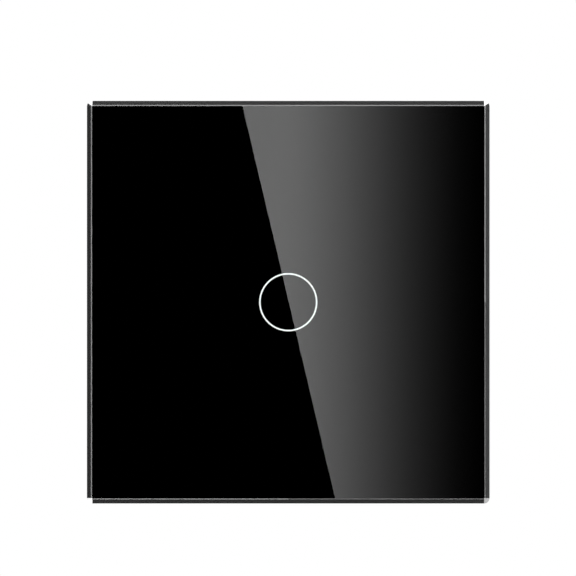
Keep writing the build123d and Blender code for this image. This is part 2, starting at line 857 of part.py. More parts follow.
def coil_point(turns):
    """Point on the coil's centre line after a number of turns."""
    angle = 2 * pi * turns
    return (
        spring_coil_radius * cos(angle),
        spring_start - spring_pitch * turns,
        spring_coil_radius * sin(angle),
    )


with BuildPart() as touch_spring:
    with BuildLine() as coil_path:
        for half_turn in range(2 * spring_turns):
            ThreePointArc(
                coil_point(half_turn / 2),
                coil_point(half_turn / 2 + 1 / 4),
                coil_point(half_turn / 2 + 1 / 2),
            )
    with BuildSketch(Plane(origin=coil_path.line @ 0, z_dir=coil_path.line % 0)):
        Circle(spring_wire_radius)
    sweep(path=coil_path.line)
keep(touch_spring, "touch_spring")

# Touch board, heat-staked to the cover's pegs
header_hole_radius = hypot(header_pin_side, header_pin_side) / 2 + lead_clearance
with BuildPart() as touch_board:
    with BuildSketch(across(touch_board_back)):
        housing_outline(board_inset)
        with GridLocations(peg_spacing, peg_spacing, 2, 2):
            Circle(peg_tip_radius + lead_clearance, mode=Mode.SUBTRACT)
        with Locations(*[(x, header_z) for x in header_xs]):
            Circle(header_hole_radius, mode=Mode.SUBTRACT)
    extrude(amount=touch_board_thickness)
keep(touch_board, "touch_board")

# Light-emitting diodes under the wall of the cap
with BuildPart() as status_leds:
    with BuildSketch(across(touch_board_front)):
        with PolarLocations(led_circle_radius, led_count):
            Rectangle(led_width, led_length)
    extrude(amount=led_height)
    with BuildSketch(across(touch_board_front - led_height)):
        with PolarLocations(led_circle_radius, led_count):
            Circle(led_lens_radius)
    extrude(amount=led_lens_height)
keep(status_leds, "status_leds")


def chip_body(x, z, board_back, width, length, height):
    """Moulded chip body on the rear face of a board."""
    with BuildPart() as body:
        with BuildSketch(across(board_back + chip_stand_off)):
            with Locations((x, z)):
                Rectangle(width, length)
        extrude(amount=-height)
        chamfer(body.faces().sort_by(Axis.Y)[-1].edges(), length=chip_chamfer)
    return body.part


def chip_pins(x, z, board_back, width, height, count, pitch, pin_width, thickness, reach):
    """Bent pins on both long sides of a chip body."""
    rise = board_back + chip_stand_off + height / 2
    with BuildPart() as pins:
        for place in range(count):
            pin_z = z + (place - (count - 1) / 2) * pitch
            for side in (-1, 1):
                start = x + side * width / 2
                knee = start + side * reach / 3
                heel = knee + side * thickness
                toe = start + side * reach
                with BuildSketch(level(pin_z)):
                    Polygon(
                        (start, rise), (start, rise + thickness), (heel, rise + thickness),
                        (heel, board_back + thickness), (toe, board_back + thickness),
                        (toe, board_back), (knee, board_back), (knee, rise),
                        align=None,
                    )
                extrude(amount=pin_width / 2, both=True)
    return pins.part


# Touch controller on the rear of the touch board, and the supply chip and bridge on the power board
with BuildPart() as touch_chip:
    add(chip_body(chip_x, chip_z, touch_board_back, chip_width, chip_length, chip_height))
keep(touch_chip, "touch_chip")

with BuildPart() as supply_chip:
    add(chip_body(supply_chip_x, bridge_z, power_board_back, chip_width, chip_length, chip_height))
keep(supply_chip, "supply_chip")

with BuildPart() as rectifier_bridge:
    add(chip_body(bridge_x, bridge_z, power_board_back, bridge_width, bridge_length, bridge_height))
keep(rectifier_bridge, "rectifier_bridge")

# Tinned pins of the three chips
with BuildPart() as chip_leads:
    for x, z, board_back in [(chip_x, chip_z, touch_board_back), (supply_chip_x, bridge_z, power_board_back)]:
        add(chip_pins(
            x, z, board_back, chip_width, chip_height, chip_pin_count,
            chip_pin_pitch, chip_pin_width, chip_pin_thickness, chip_pin_reach,
        ))
    add(chip_pins(
        bridge_x, bridge_z, power_board_back, bridge_width, bridge_height, bridge_pin_count,
        bridge_pin_pitch, bridge_pin_width, bridge_pin_thickness, bridge_pin_reach,
    ))
keep(chip_leads, "chip_leads")

# Chip resistors with thicker soldered ends
with BuildPart() as chip_resistors:
    with BuildSketch(across(touch_board_back)):
        with Locations((resistor_x, resistor_z)):
            with GridLocations(0, resistor_pitch, 1, resistor_count):
                Rectangle(resistor_length, resistor_width)
    extrude(amount=-resistor_height)
    with BuildSketch(across(touch_board_back)):
        with Locations((resistor_x, resistor_z)):
            with GridLocations(resistor_length - resistor_cap, resistor_pitch, 2, resistor_count):
                Rectangle(resistor_cap, resistor_width + 2 * resistor_cap_proud)
    extrude(amount=-(resistor_height + resistor_cap_proud))
keep(chip_resistors, "chip_resistors")

# Header strip and its pins, which join the touch board to the power board
with BuildPart() as header_strip:
    with BuildSketch(across(touch_board_back)):
        with Locations((0, header_z)):
            Rectangle(header_pin_count * header_pitch, header_strip_width)
        with Locations(*[(x, header_z) for x in header_xs]):
            pin_hole = header_pin_side + 2 * thread_clearance
            Rectangle(pin_hole, pin_hole, mode=Mode.SUBTRACT)
    extrude(amount=-(board_gap - header_board_gap))
keep(header_strip, "header_strip")

with BuildPart() as header_pins:
    with BuildSketch(across(power_board_back + header_tail)):
        with Locations(*[(x, header_z) for x in header_xs]):
            Rectangle(header_pin_side, header_pin_side)
    extrude(amount=power_board_back + header_tail - (touch_board_front - header_tail))
keep(header_pins, "header_pins")

# Places where leads pass the power board
bulk_leads = pair(bulk_x, bulk_z, bulk_lead_pitch)
choke_leads = pair(choke_x, choke_z, choke_lead_pitch)
film_leads = pair(film_x, film_z, film_lead_pitch)
fuse_leads = pair(fuse_x, fuse_z, fuse_lead_span)
varistor_leads = [(varistor_x, varistor_z + side * varistor_lead_pitch / 2) for side in (-1, 1)]
bar_pin_z = bar_bottom + bar_thickness / 2


def relay_holes():
    """Holes for the relay's coil pins and contact tabs."""
    tab_hole = relay_tab_width + 2 * lead_clearance
    with Locations(*coil_pin_places):
        Circle(lead_radius + lead_clearance, mode=Mode.SUBTRACT)
    with Locations((hinge_x, relay_z)):
        Rectangle(yoke_thickness + 2 * lead_clearance, tab_hole, mode=Mode.SUBTRACT)
    with Locations(*[(x - contact_arm_thickness / 2, relay_z) for x in (near_arm_x, far_arm_x)]):
        Rectangle(contact_arm_thickness + 2 * lead_clearance, tab_hole, mode=Mode.SUBTRACT)


# Power board with a hole for every lead, pin, tab and screw
with BuildPart() as power_board:
    with BuildSketch(across(power_board_back)):
        housing_outline(board_inset)
        with Locations(*bulk_leads, *choke_leads, *film_leads, *fuse_leads, *varistor_leads):
            Circle(lead_radius + lead_clearance, mode=Mode.SUBTRACT)
        with Locations(*[(x, header_z) for x in header_xs]):
            Circle(header_hole_radius, mode=Mode.SUBTRACT)
        with Locations(*pair(0, boss_z, 2 * boss_x)):
            Circle(board_screw_hole_radius, mode=Mode.SUBTRACT)
        with Locations(*[(x, bar_pin_z) for x in terminal_xs]):
            hole_width = bar_pin_width + 2 * lead_clearance
            Rectangle(hole_width, bar_thickness + 2 * lead_clearance, mode=Mode.SUBTRACT)
        relay_holes()
    extrude(amount=power_board_thickness)
keep(power_board, "power_board")

# Screws that hold the power board on the housing's bosses
with BuildPart() as board_screws:
    board_head_front = power_board_front - board_screw_head_height
    for screw_x, screw_z in pair(0, boss_z, 2 * boss_x):
        add(turned(screw_x, screw_z, [
            (0, board_head_front),
            (board_screw_radius, board_head_front),
            (board_screw_head_radius, board_head_front + board_screw_head_height / 2),
            (board_screw_head_radius, power_board_front),
            (board_screw_radius, power_board_front),
            (board_screw_radius, power_board_front + board_screw_length),
            (0, power_board_front + board_screw_length),
        ]))
    with BuildSketch(across(board_head_front)):
        with Locations(*pair(0, boss_z, 2 * boss_x)):
            Rectangle(2 * board_screw_radius, cross_width)
            Rectangle(cross_width, 2 * board_screw_radius)
    extrude(amount=-board_screw_head_height / 2, mode=Mode.SUBTRACT)
keep(board_screws, "board_screws")

# Relay base, closed from below except for the pins and tabs
cover_inner_length = relay_length - 2 * relay_cover_wall
cover_inner_width = relay_width - 2 * relay_cover_wall
with BuildPart() as relay_base:
    with BuildSketch(across(relay_base_back)):
        with Locations((relay_x, relay_z)):
            Rectangle(cover_inner_length - 2 * thread_clearance, cover_inner_width - 2 * thread_clearance)
        relay_holes()
    extrude(amount=relay_base_height)
keep(relay_base, "relay_base")

# Relay cover: open box over the mechanism
with BuildPart() as relay_cover:
    with BuildSketch(across(relay_back)):
        with Locations((relay_x, relay_z)):
            RectangleRounded(relay_length, relay_width, relay_corner_radius)
    extrude(amount=relay_back - part_seat)
    chamfer(relay_cover.faces().sort_by(Axis.Y)[-1].edges(), length=relay_cover_wall / 2)
    with BuildSketch(across(relay_back - relay_cover_wall)):
        with Locations((relay_x, relay_z)):
            Rectangle(cover_inner_length, cover_inner_width)
    extrude(amount=relay_back - relay_cover_wall - part_seat, mode=Mode.SUBTRACT)
keep(relay_cover, "relay_cover")

# Relay yoke: bent iron angle with the staked core, its pole face and the common contact's tab
with BuildPart() as relay_yoke:
    yoke_left = hinge_x - yoke_thickness / 2
    yoke_right = hinge_x + yoke_thickness / 2
    yoke_top = armature_front - armature_pivot_gap
    toe_x = coil_x + core_radius + yoke_toe
    with BuildSketch(level(relay_z)):
        Polygon(
            (yoke_left, yoke_front), (toe_x, yoke_front), (toe_x, bobbin_front),
            (yoke_right, bobbin_front), (yoke_right, yoke_top), (yoke_left, yoke_top),
            align=None,
        )
    extrude(amount=yoke_width / 2, both=True)
    fillet(relay_yoke.edges().filter_by(Axis.Z).group_by(Axis.Y)[-1], yoke_edge_round)
    add(turned(coil_x, relay_z, [
        (0, yoke_front),
        (core_radius, yoke_front),
        (core_radius, bobbin_back),
        (pole_radius, bobbin_back),
        (pole_radius, pole_back),
        (0, pole_back),
    ]))
    with BuildSketch(across(yoke_front)):
        with Locations((hinge_x, relay_z)):
            Rectangle(yoke_thickness, relay_tab_width)
    extrude(amount=yoke_front - lead_end)
keep(relay_yoke, "relay_yoke")

# Relay bobbin and its winding
with BuildPart() as relay_bobbin:
    for flange_back in (bobbin_back, bobbin_front + bobbin_flange):
        with BuildSketch(across(flange_back)):
            with Locations((coil_x, relay_z)):
                Rectangle(bobbin_side, bobbin_side)
        extrude(amount=bobbin_flange)
    with BuildSketch(across(bobbin_back)):
        with Locations((coil_x, relay_z)):
            Circle(hub_radius)
    extrude(amount=bobbin_height)
    with BuildSketch(across(bobbin_back)):
        with Locations((coil_x, relay_z)):
            Circle(core_radius + thread_clearance)
    extrude(amount=bobbin_height, mode=Mode.SUBTRACT)
keep(relay_bobbin, "relay_bobbin")

with BuildPart() as relay_winding:
    with BuildSketch(across(bobbin_back - bobbin_flange)):
        with Locations((coil_x, relay_z)):
            Circle(winding_radius)
            Circle(hub_radius + thread_clearance, mode=Mode.SUBTRACT)
    extrude(amount=bobbin_height - 2 * bobbin_flange)
keep(relay_winding, "relay_winding")


def contact_arm(outer_x, arm_front, button_side):
    """Fixed arm that rises beside the blade and carries a contact button on one side."""
    arm_back = arm_front + contact_arm_thickness
    button_back = arm_back + contact_proud if button_side > 0 else arm_front
    with BuildPart() as arm:
        with BuildSketch(level(relay_z)):
            Polygon(
                (contact_x - contact_radius, arm_front), (contact_x - contact_radius, arm_back),
                (outer_x, arm_back), (outer_x, yoke_front),
                (outer_x - contact_arm_thickness, yoke_front),
                (outer_x - contact_arm_thickness, arm_front),
                align=None,
            )
        extrude(amount=contact_arm_width / 2, both=True)
        with BuildSketch(across(button_back)):
            with Locations((contact_x, relay_z)):
                Circle(contact_radius)
        extrude(amount=contact_proud)
        with BuildSketch(across(yoke_front)):
            with Locations((outer_x - contact_arm_thickness / 2, relay_z)):
                Rectangle(contact_arm_thickness, relay_tab_width)
        extrude(amount=yoke_front - lead_end)
    return arm.part


# Fixed contacts: one in front of the blade, closed by the coil, and one behind it, closed at rest
with BuildPart() as relay_contacts:
    add(contact_arm(near_arm_x, near_arm_front, 1))
    add(contact_arm(far_arm_x, far_arm_front, -1))
keep(relay_contacts, "relay_contacts")

# Armature plate that rocks on the yoke's edge
with BuildPart() as relay_armature:
    with BuildSketch(across(blade_front)):
        with Locations((hinge_x + (armature_reach - yoke_thickness / 2) / 2, relay_z)):
            Rectangle(armature_reach + yoke_thickness / 2, yoke_width)
    extrude(amount=armature_thickness)
keep(relay_armature, "relay_armature")

# Contact blade riveted to the armature, with a button on both faces
with BuildPart() as relay_blade:
    blade_start = hinge_x + armature_reach - blade_overlap
    blade_end = contact_x + contact_radius + blade_edge
    with BuildSketch(across(blade_back)):
        with Locations(((blade_start + blade_end) / 2, relay_z)):
            Rectangle(blade_end - blade_start, blade_width)
    extrude(amount=blade_thickness)
    with BuildSketch(across(blade_back + contact_proud)):
        with Locations((contact_x, relay_z)):
            Circle(contact_radius)
    extrude(amount=blade_thickness + 2 * contact_proud)
keep(relay_blade, "relay_blade")

# Bulk capacitor: crimped can with a rounded top edge
with BuildPart() as bulk_capacitor:
    groove_front = part_seat + bulk_groove_rise
    groove_back = groove_front + bulk_groove_width
    add(turned(bulk_x, bulk_z, [
        (0, part_seat),
        (bulk_radius - bulk_groove_depth, part_seat),
        (bulk_radius, part_seat + bulk_groove_depth),
        (bulk_radius, groove_front),
        (bulk_radius - bulk_groove_depth, (groove_front + groove_back) / 2),
        (bulk_radius, groove_back),
        (bulk_radius, part_seat + bulk_height),
        (0, part_seat + bulk_height),
    ]))
    fillet(bulk_capacitor.faces().sort_by(Axis.Y)[-1].edges(), bulk_round)
keep(bulk_capacitor, "bulk_capacitor")

# Choke: drum core and its winding
with BuildPart() as choke_core:
    choke_back = part_seat + choke_height
    add(turned(choke_x, choke_z, [
        (0, part_seat),
        (choke_radius, part_seat),
        (choke_radius, part_seat + choke_flange),
        (choke_core_radius, part_seat + choke_flange),
        (choke_core_radius, choke_back - choke_flange),
        (choke_radius, choke_back - choke_flange),
        (choke_radius, choke_back),
        (0, choke_back),
    ]))
keep(choke_core, "choke_core")

with BuildPart() as choke_winding:
    with BuildSketch(across(choke_back - choke_flange)):
        with Locations((choke_x, choke_z)):
            Circle(choke_radius - choke_winding_inset)
            Circle(choke_core_radius + thread_clearance, mode=Mode.SUBTRACT)
    extrude(amount=choke_height - 2 * choke_flange)
keep(choke_winding, "choke_winding")

# Film capacitor in a rounded box
with BuildPart() as film_capacitor:
    with BuildSketch(across(part_seat + film_height)):
        with Locations((film_x, film_z)):
            RectangleRounded(film_length, film_thickness, film_round)
    extrude(amount=film_height)
    chamfer(film_capacitor.faces().sort_by(Axis.Y)[-1].edges(), length=film_round / 2)
keep(film_capacitor, "film_capacitor")

# Varistor: dipped disc on edge, with coated necks on its leads
with BuildPart() as varistor:
    with BuildSketch(Plane.YZ.offset(varistor_x)):
        with Locations((varistor_depth, varistor_z)):
            Circle(varistor_radius)
    extrude(amount=varistor_thickness / 2, both=True)
    fillet(varistor.edges().filter_by(GeomType.CIRCLE), varistor_round)
    with BuildSketch(across(varistor_depth)):
        with Locations(*varistor_leads):
            Circle(varistor_neck_radius)
    extrude(amount=varistor_depth - varistor_neck_end)
keep(varistor, "varistor")

# Fuse: ceramic tube with two metal caps
with BuildPart() as fuse_link:
    with BuildSketch(Plane.YZ.offset(fuse_x)):
        with Locations((fuse_depth, fuse_z)):
            Circle(fuse_radius)
    extrude(amount=fuse_length / 2, both=True)
    for side in (-1, 1):
        with BuildSketch(Plane.YZ.offset(fuse_x + side * fuse_length / 2)):
            with Locations((fuse_depth, fuse_z)):
                Circle(fuse_cap_radius)
        extrude(amount=-side * fuse_cap_length)
keep(fuse_link, "fuse_link")

# Tinned leads of the parts on the power board
with BuildPart() as component_leads:
    with BuildSketch(across(part_seat)):
        with Locations(*bulk_leads, *choke_leads, *film_leads):
            Circle(lead_radius)
    extrude(amount=part_seat - lead_end)
    with BuildSketch(across(varistor_neck_end)):
        with Locations(*varistor_leads):
            Circle(lead_radius)
    extrude(amount=varistor_neck_end - lead_end)
    with BuildSketch(across(bobbin_front)):
        with Locations(*coil_pin_places):
            Circle(lead_radius)
    extrude(amount=bobbin_front - lead_end)
    for side in (-1, 1):
        with BuildLine() as lead_path:
            FilletPolyline(
                (fuse_x + side * fuse_length / 2, fuse_depth, fuse_z),
                (fuse_x + side * fuse_lead_span / 2, fuse_depth, fuse_z),
                (fuse_x + side * fuse_lead_span / 2, lead_end, fuse_z),
                radius=lead_bend,
            )
        with BuildSketch(Plane(origin=lead_path.line @ 0, z_dir=lead_path.line % 0)):
            Circle(lead_radius)
        sweep(path=lead_path.line)
keep(component_leads, "component_leads")

# Terminal block: three cells, each with a wire port and a hole for the screwdriver
with BuildPart() as terminal_block:
    with BuildSketch(across(block_back)):
        with Locations((0, (block_top + block_bottom) / 2)):
            RectangleRounded(block_width, block_top - block_bottom, block_round)
    extrude(amount=block_back - power_board_back)
    with BuildSketch(across(block_roof_front)):
        with Locations(*[(x, (cell_top + cell_bottom) / 2) for x in terminal_xs]):
            Rectangle(terminal_pitch - cell_wall, cell_length)
    extrude(amount=block_roof_front - power_board_back, mode=Mode.SUBTRACT)
    with BuildSketch(across(block_back)):
        with Locations(*[(x, cage_z) for x in terminal_xs]):
            Circle(roof_hole_radius)
    extrude(amount=block_roof, mode=Mode.SUBTRACT)
    with BuildSketch(level(block_top)):
        with Locations(*[(x, wire_depth) for x in terminal_xs]):
            Rectangle(port_width, wire_space)
    extrude(amount=-block_port_wall, mode=Mode.SUBTRACT)
keep(terminal_block, "terminal_block")

# Fixed contact bars: each runs through its cage and turns down to a soldered pin
with BuildPart() as terminal_contacts:
    for terminal_x in terminal_xs:
        with BuildSketch(Plane.YZ.offset(terminal_x)):
            Polygon(
                (bar_front, bar_top), (bar_back, bar_top), (bar_back, bar_bottom),
                (power_board_back, bar_bottom), (power_board_back, bar_bottom + bar_thickness),
                (bar_front, bar_bottom + bar_thickness),
                align=None,
            )
        extrude(amount=port_width / 2 - bar_side_gap, both=True)
    bar_heels = terminal_contacts.edges().filter_by(Axis.X).filter_by(
        lambda edge: abs(edge.center().Y - bar_back) < thread_clearance
        and abs(edge.center().Z - bar_bottom) < thread_clearance
    )
    fillet(bar_heels, bar_bend_radius)
    with BuildSketch(across(power_board_back)):
        with Locations(*[(x, bar_pin_z) for x in terminal_xs]):
            Rectangle(bar_pin_width, bar_thickness)
    extrude(amount=power_board_back - lead_end)
keep(terminal_contacts, "terminal_contacts")

# Rising cages and their screws: the screw turns in place and lifts the cage against the bar
for number, terminal_x in enumerate(terminal_xs, start=1):
    with BuildPart() as terminal_cage:
        with BuildSketch(level(cage_z - cage_length / 2)):
            with Locations((terminal_x, (cage_front + cage_back) / 2)):
                RectangleRounded(cage_width, cage_back - cage_front, cage_round)
            with Locations((terminal_x, (cage_floor_top + cage_roof_front) / 2)):
                Rectangle(port_width, cage_roof_front - cage_floor_top, mode=Mode.SUBTRACT)
        extrude(amount=cage_length)
        with BuildSketch(across(cage_back)):
            with Locations((terminal_x, cage_z)):
                Circle(screw_radius + thread_clearance)
        extrude(amount=cage_roof, mode=Mode.SUBTRACT)
    keep(terminal_cage, f"terminal_cage_{number}")

    with BuildPart() as terminal_screw:
        add(turned(terminal_x, cage_z, [
            (0, bar_back + screw_tip_gap),
            (screw_radius, bar_back + screw_tip_gap),
            (screw_radius, head_front),
            (screw_head_radius, head_front),
            (screw_head_radius, head_back - screw_head_chamfer),
            (screw_head_radius - screw_head_chamfer, head_back),
            (0, head_back),
        ]))
        with BuildSketch(across(head_back)):
            with Locations((terminal_x, cage_z)):
                Rectangle(2 * screw_head_radius, screw_slot_width)
                Rectangle(screw_slot_width, screw_cross_length)
        extrude(amount=screw_slot_depth, mode=Mode.SUBTRACT)
    keep(terminal_screw, f"terminal_screw_{number}")
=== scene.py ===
import json
from math import pi

import bpy
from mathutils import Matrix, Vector


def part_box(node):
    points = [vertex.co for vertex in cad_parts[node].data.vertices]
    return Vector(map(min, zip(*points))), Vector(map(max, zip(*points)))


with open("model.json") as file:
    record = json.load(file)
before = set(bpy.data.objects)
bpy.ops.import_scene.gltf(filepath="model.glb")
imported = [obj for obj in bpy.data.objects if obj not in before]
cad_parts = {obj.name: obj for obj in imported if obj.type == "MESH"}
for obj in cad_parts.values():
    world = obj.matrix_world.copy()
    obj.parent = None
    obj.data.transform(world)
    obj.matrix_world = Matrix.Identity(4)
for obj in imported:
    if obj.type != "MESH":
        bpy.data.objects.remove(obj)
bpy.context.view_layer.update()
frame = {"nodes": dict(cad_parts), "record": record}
nodes = frame["nodes"]

MM = 0.001
ACROSS, DEEP, UP = Vector((1.0, 0.0, 0.0)), Vector((0.0, 1.0, 0.0)), Vector((0.0, 0.0, 1.0))

# What was read off the photograph: places in its pixels, and the sheen's brightest tone from 0 to 1
PHOTO_SIDE = 576
PIXELS_PER_MM = 5.037
PANEL_CENTRE = (288.25, 302.2)
SHEEN_EDGE_TOP = (242.5, 106.0)
SHEEN_EDGE_FOOT = (335.0, 498.0)
SHEEN_FULL_X = 284.5
SHEEN_GONE_X = 489.0
SHEEN_TONE = 0.4165


def rgb(red, green, blue):
    """Colour in linear levels, as a shader takes it."""
    return (red, green, blue, 1.0)


def grey(level):
    """Neutral colour of one level."""
    return rgb(level, level, level)


def lighter(colour, share):
    """Colour moved towards white by a share."""
    return rgb(*(level + (1 - level) * share for level in colour[:3]))


def darker(colour, share):
    """Colour moved towards black by a share."""
    return rgb(*(level * (1 - share) for level in colour[:3]))


WHITE = grey(1.0)
BLACK = grey(0.0)

# Sockets of a colour mix, by number because its other kinds of mix have the same names
MIX_SHARE, MIX_FIRST, MIX_SECOND, MIX_RESULT = 0, 6, 7, 2

# Blender's wave texture runs through 20 radians in each unit
WAVE_RATE = 20


class Finish:
    """A material's node tree, with short calls for what the finishes share. Lengths are in metres."""

    def __init__(self, name, colour, roughness, metallic=0.0, **sockets):
        self.name = name
        self.material = bpy.data.materials.new(name)
        self.material.use_nodes = True
        self.tree = self.material.node_tree
        self.shader = self.tree.nodes["Principled BSDF"]
        self.base = colour
        self.shader.inputs["Base Color"].default_value = colour
        self.shader.inputs["Roughness"].default_value = roughness
        self.shader.inputs["Metallic"].default_value = metallic
        for socket, value in sockets.items():
            self.shader.inputs[socket.replace("_", " ")].default_value = value
        self.place = self.add("ShaderNodeTexCoord").outputs["Object"]

    def add(self, kind, links=None, **settings):
        """New node with its settings, and its inputs linked or set by name or number."""
        node = self.tree.nodes.new(kind)
        for key, value in settings.items():
            setattr(node, key, value)
        for key, value in (links or {}).items():
            self.feed(node.inputs[key], value)
        return node

    def feed(self, socket, value):
        """Links an output to a socket, or sets a plain value on it."""
        if isinstance(value, bpy.types.NodeSocket):
            self.tree.links.new(value, socket)
        else:
            socket.default_value = value

    # Values that vary over the object

    def noise(self, size, detail=3.0, stretch=None, rough=0.5):
        """Cloudy noise with features of about that size, which a stretch makes finer along an axis."""
        where = self.place
        if stretch:
            where = self.add("ShaderNodeMapping", {"Vector": where, "Scale": stretch}).outputs[0]
        links = {"Vector": where, "Scale": 1 / size, "Detail": detail, "Roughness": rough}
        return self.add("ShaderNodeTexNoise", links).outputs["Fac"]

    def cells(self, size, output="Color", metric="EUCLIDEAN", feature="F1"):
        """Cells of about that size."""
        node = self.add("ShaderNodeTexVoronoi", {"Vector": self.place, "Scale": 1 / size},
                        distance=metric, feature=feature)
        return node.outputs[output]

    def bands(self, pitch, axis, wobble):
        """Bands at that pitch along an axis, which wobble a little."""
        links = {"Vector": self.place, "Scale": 2 * pi / (WAVE_RATE * pitch), "Distortion": wobble}
        return self.add("ShaderNodeTexWave", links, bands_direction=axis).outputs["Fac"]

    def maths(self, operation, first, second=0.0):
        """One sum, product or comparison."""
        return self.add("ShaderNodeMath", {0: first, 1: second}, operation=operation).outputs[0]

    def vector(self, operation, first, second=(0.0, 0.0, 0.0), output="Vector"):
        """One sum or product of vectors, or a vector's length."""
        return self.add("ShaderNodeVectorMath", {0: first, 1: second}, operation=operation).outputs[output]

    def spread(self, value, low, high, source=(0.0, 1.0), kind="LINEAR"):
        """Value moved from one range to another and held there."""
        links = {"Value": value, "From Min": source[0], "From Max": source[1], "To Min": low, "To Max": high}
        return self.add("ShaderNodeMapRange", links, interpolation_type=kind).outputs["Result"]

    def mix(self, share, first, second):
        """Colour between two colours."""
        links = {MIX_SHARE: share, MIX_FIRST: first, MIX_SECOND: second}
        return self.add("ShaderNodeMix", links, data_type="RGBA").outputs[MIX_RESULT]

    # Masks, which are 1 where something holds and 0 elsewhere

    def axis(self, name, vector=None):
        """One coordinate of a vector, by default of the place in the object."""
        return self.add("ShaderNodeSeparateXYZ", {0: vector or self.place}).outputs[name]

    def past(self, axis, centre, reach):
        """How far the coordinate lies beyond reach of a place, less than 0 within it."""
        off = self.maths("ABSOLUTE", self.maths("SUBTRACT", self.axis(axis), centre))
        return self.maths("SUBTRACT", off, reach)

    def near(self, axis, centre, reach):
        """Mask of where the coordinate lies within reach of a place."""
        return self.maths("LESS_THAN", self.past(axis, centre, reach), 0.0)

    def beyond(self, axis, limit):
        """Mask of where the coordinate is over a limit."""
        return self.maths("GREATER_THAN", self.axis(axis), limit)

    def both(self, first, second):
        """Mask of where two masks hold."""
        return self.maths("MULTIPLY", first, second)

    def outside(self, mask):
        """Mask of where a mask doesn't hold."""
        return self.maths("SUBTRACT", 1.0, mask)

    # What the values drive

    def colour(self, share, other):
        """Lays another colour over the base colour by a share that varies."""
        link = self.shader.inputs["Base Color"].links
        under = link[0].from_socket if link else self.base
        self.feed(self.shader.inputs["Base Color"], self.mix(share, under, other))

    def vary(self, socket, value, low, high):
        """Drives a socket of the shader by a value between two levels."""
        self.feed(self.shader.inputs[socket], self.spread(value, low, high))

    def bump(self, height, depth, strength):
        """Relief of that depth over whatever relief is there."""
        links = {"Height": height, "Distance": depth, "Strength": strength}
        node = self.add("ShaderNodeBump", links)
        before = self.shader.inputs["Normal"].links
        if before:
            self.feed(node.inputs["Normal"], before[0].from_socket)
        self.feed(self.shader.inputs["Normal"], node.outputs["Normal"])

    def clouds(self, size, other, share, detail=3.0, stretch=None):
        """Clouds of another colour, laid over the base by up to a share."""
        self.colour(self.spread(self.noise(size, detail, stretch), 0.0, share), other)

    def uneven(self, size, low, high):
        """Roughness that wanders between two levels."""
        self.vary("Roughness", self.noise(size), low, high)

    def grain(self, size, depth, strength, detail=3.0):
        """Fine relief of that size."""
        self.bump(self.noise(size, detail), depth, strength)

    def glow(self, strength):
        """Makes the surface a plain emitter, which light finds only by hitting it."""
        emitter = self.add("ShaderNodeEmission", {"Strength": strength})
        self.feed(self.tree.nodes["Material Output"].inputs["Surface"], emitter.outputs[0])
        self.material.cycles.emission_sampling = "NONE"


# Finishes of a kind, which take their name and colour from the slot


def moulded(name, colour, roughness, grain_size=0.25 * MM):
    """Injection-moulded plastic: eroded grain, faint flow marks and uneven gloss."""
    finish = Finish(name, colour, roughness, IOR=1.5)
    finish.clouds(9 * MM, lighter(colour, 0.03), share=0.5, detail=2.0, stretch=(1.0, 1.0, 0.35))
    finish.clouds(0.7 * MM, darker(colour, 0.25), share=0.3, detail=4.0)
    finish.uneven(2.5 * MM, low=roughness - 0.08, high=roughness + 0.1)
    finish.grain(grain_size, depth=0.02 * MM, strength=0.5, detail=2.0)
    return finish


def rolled(name, colour, roughness, lines_stretch):
    """Sheet metal with the fine lines that rolling leaves."""
    finish = Finish(name, colour, roughness, metallic=1.0)
    lines = finish.noise(1.6 * MM, detail=6.0, stretch=lines_stretch, rough=0.65)
    finish.colour(finish.spread(lines, 0.0, 0.7), darker(colour, 0.22))
    finish.clouds(6 * MM, lighter(colour, 0.2), share=0.25)
    finish.vary("Roughness", lines, roughness - 0.08, roughness + 0.12)
    finish.bump(lines, depth=0.01 * MM, strength=0.35)
    return finish


def plated(name, colour, roughness, tint=rgb(0.62, 0.66, 0.74)):
    """Turned or headed part with a bright plating and a slight coloured cast."""
    finish = Finish(name, colour, roughness, metallic=1.0)
    cast = finish.spread(finish.noise(1.8 * MM), 0.0, 0.45, source=(0.35, 0.7))
    finish.colour(cast, tint)
    finish.uneven(0.6 * MM, low=roughness - 0.06, high=roughness + 0.12)
    finish.grain(0.15 * MM, depth=0.004 * MM, strength=0.4)
    return finish


def wound_wire(name, colour, pitch):
    """Enamelled wire laid turn beside turn along the depth, with painted shade in the grooves between turns.
    """
    finish = Finish(name, colour, 0.3, metallic=0.8, Coat_Weight=0.5)
    turns = finish.bands(pitch, "Y", wobble=0.15)
    # Grooves between turns darkened: painted shade
    finish.colour(finish.spread(turns, 0.75, 0.0), darker(colour, 0.65))
    finish.clouds(1.5 * MM, lighter(colour, 0.2), share=0.3)
    finish.uneven(0.8 * MM, low=0.22, high=0.42)
    finish.bump(turns, depth=pitch / 2, strength=0.9)
    return finish


def dipped_coat(name, colour):
    """Epoxy dip coat with an orange-peel skin."""
    finish = Finish(name, colour, 0.25, Coat_Weight=0.4)
    finish.clouds(2.2 * MM, darker(colour, 0.3), share=0.5)
    finish.clouds(0.5 * MM, lighter(colour, 0.15), share=0.2)
    finish.uneven(0.9 * MM, low=0.18, high=0.34)
    finish.grain(0.6 * MM, depth=0.05 * MM, strength=0.6, detail=1.0)
    return finish


# Finishes of one slot each, first the glass. How squarely it faces the room, from 1 on its face
# to 0 on its sides, tells its arris and its sides apart.
ARRIS_FACING = (0.85, 0.98)
SIDE_FACING = 0.3
SIDE_TINT = rgb(0.24, 0.47, 0.4)

# The arris is made hazy white, a painted highlight, from this far in from the panel's sides, within a range
# of haze
ARRIS_START = 0.83 * MM
ARRIS_HIGHLIGHT_HAZE = (0.25, 0.31)
